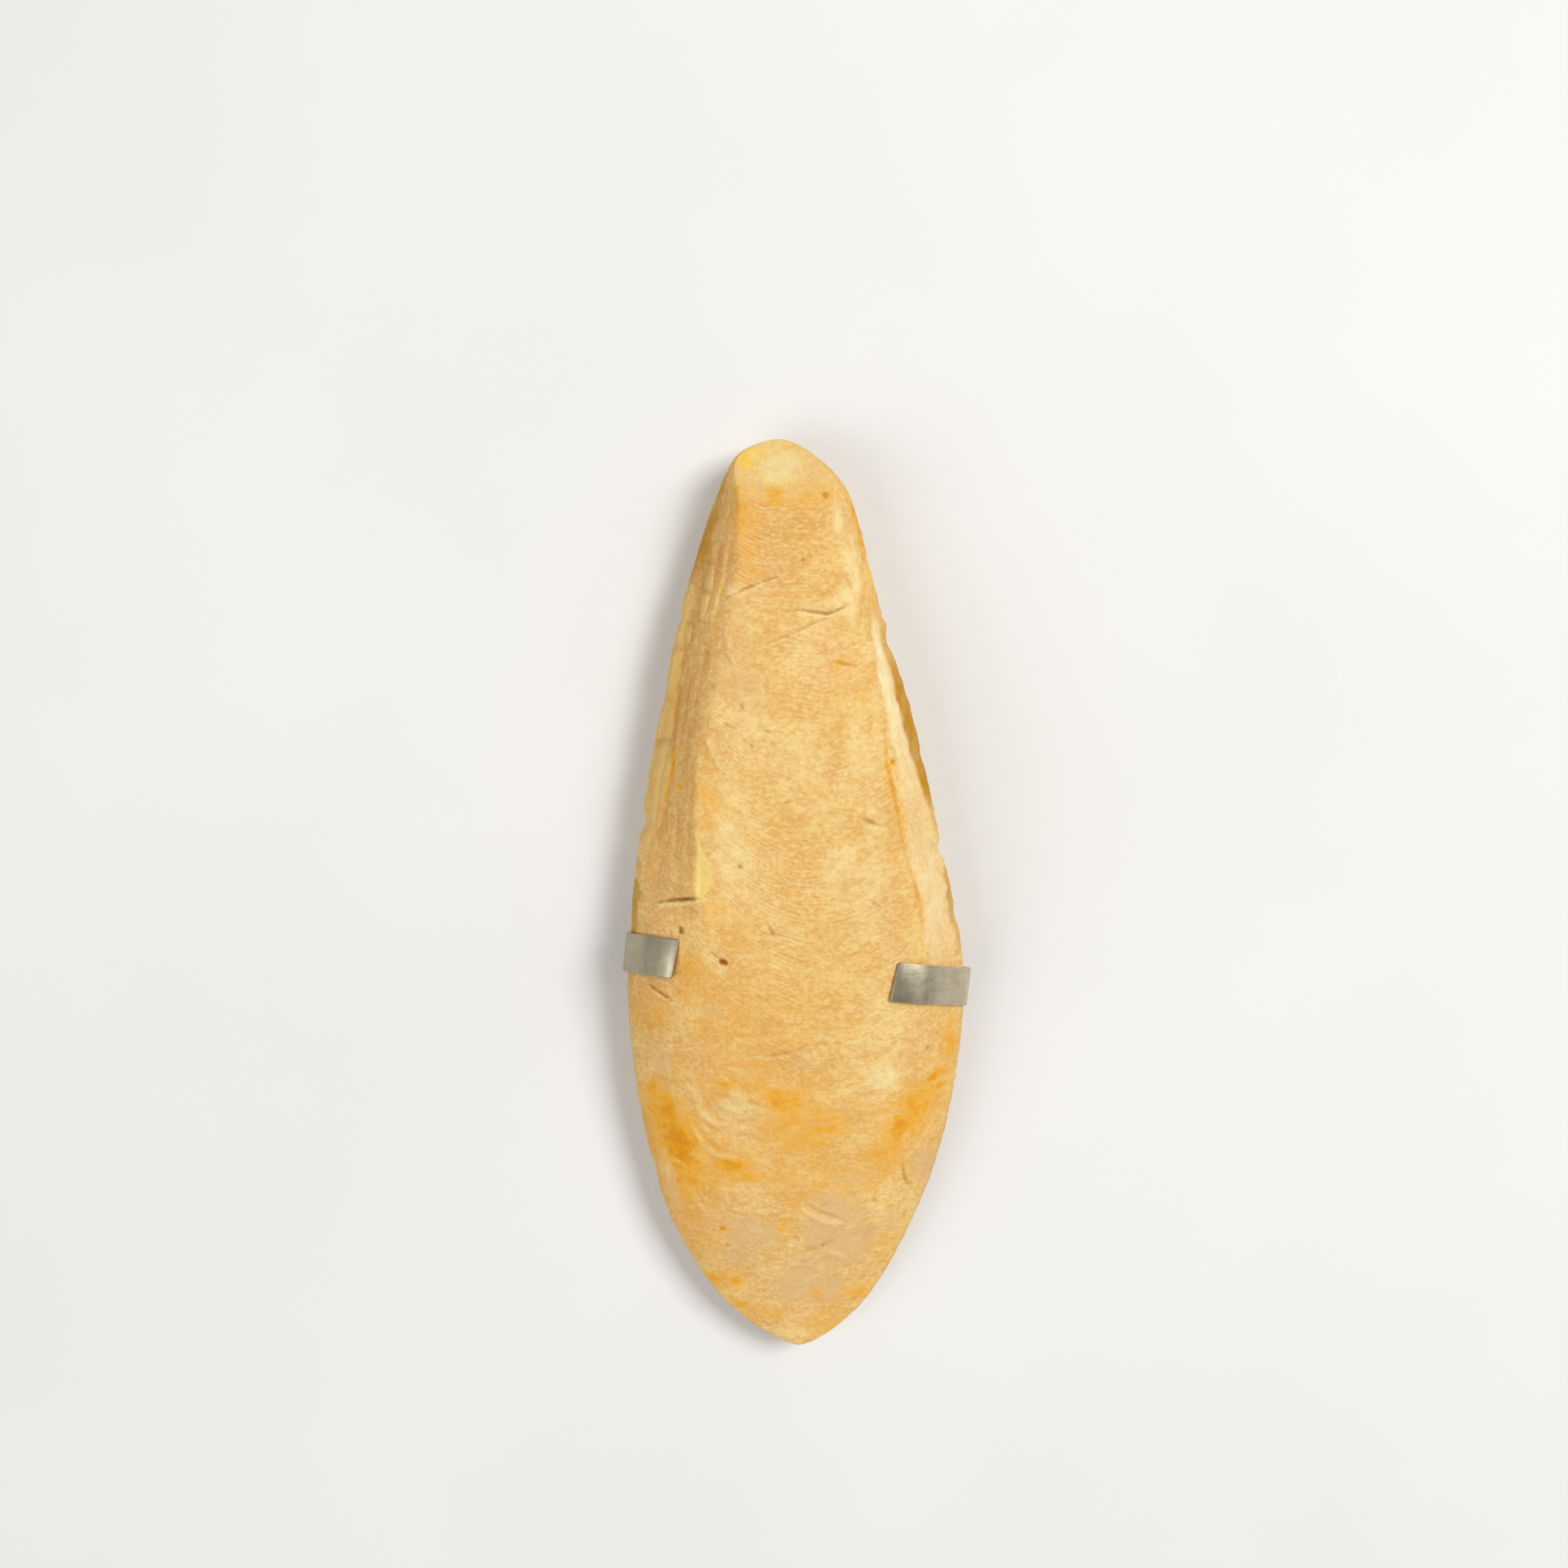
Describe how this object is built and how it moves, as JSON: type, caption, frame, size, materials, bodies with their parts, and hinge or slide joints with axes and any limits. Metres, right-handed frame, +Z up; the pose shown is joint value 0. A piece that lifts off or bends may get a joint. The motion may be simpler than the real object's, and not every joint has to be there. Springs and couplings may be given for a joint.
{
  "type": "cuttlebone",
  "caption": "Natural cuttlebone lying on its hard back with the soft chambered face up, its nose trimmed flat, gripped across the middle by a bent metal hanging clip.",
  "frame": {"origin": "on the resting plane, under the middle of the part's box", "axes": "+Y along the bone towards the trimmed narrow end, +X across it, +Z up out of the soft face"},
  "size_m": [0.0574, 0.15, 0.0206],
  "materials": {
    "bone": "matte",
    "clip": "satin"
  },
  "bodies": {
    "root": {"bone": "bone", "clip": "clip"}
  },
  "joints": []
}
